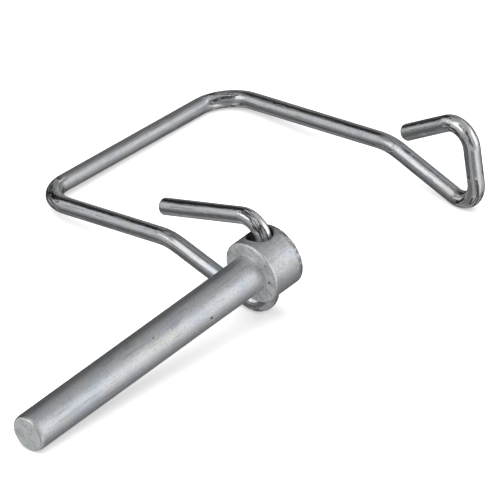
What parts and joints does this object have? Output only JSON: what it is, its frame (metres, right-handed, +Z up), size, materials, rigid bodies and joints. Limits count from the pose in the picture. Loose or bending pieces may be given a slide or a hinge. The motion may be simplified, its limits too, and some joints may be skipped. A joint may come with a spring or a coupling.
{
  "type": "hitch pin lock",
  "caption": "Headed steel hitch pin with a swinging spring-wire bail whose catch loop springs over the tip to lock it.",
  "frame": {"origin": "on the surface that the part lies on, under the middle of its box", "axes": "+Z up from that surface, +X along the bail's bridge, about from the pin's tip to its head, +Y from the pin to the bridge; the bail is swung open"},
  "size_m": [0.1582, 0.0882, 0.0279],
  "materials": {
    "plated_pin_steel": "satin zinc plate over turned steel, faintly blue and green, darker towards the edges",
    "plated_spring_wire": "bright smooth zinc plate on drawn spring wire, with small marks at the bends"
  },
  "bodies": {
    "pin": {"headed_pin": "plated_pin_steel"},
    "bail": {"wire_bail": "plated_spring_wire"}
  },
  "joints": [
    {"name": "bail_swing", "type": "hinge", "parent": "pin", "child": "bail", "pos_m": [0.00716, -0.03391, 0.01516], "axis": [-0.0795, 0.1737, 0.9816], "range_deg": [-170, 69.5]}
  ]
}
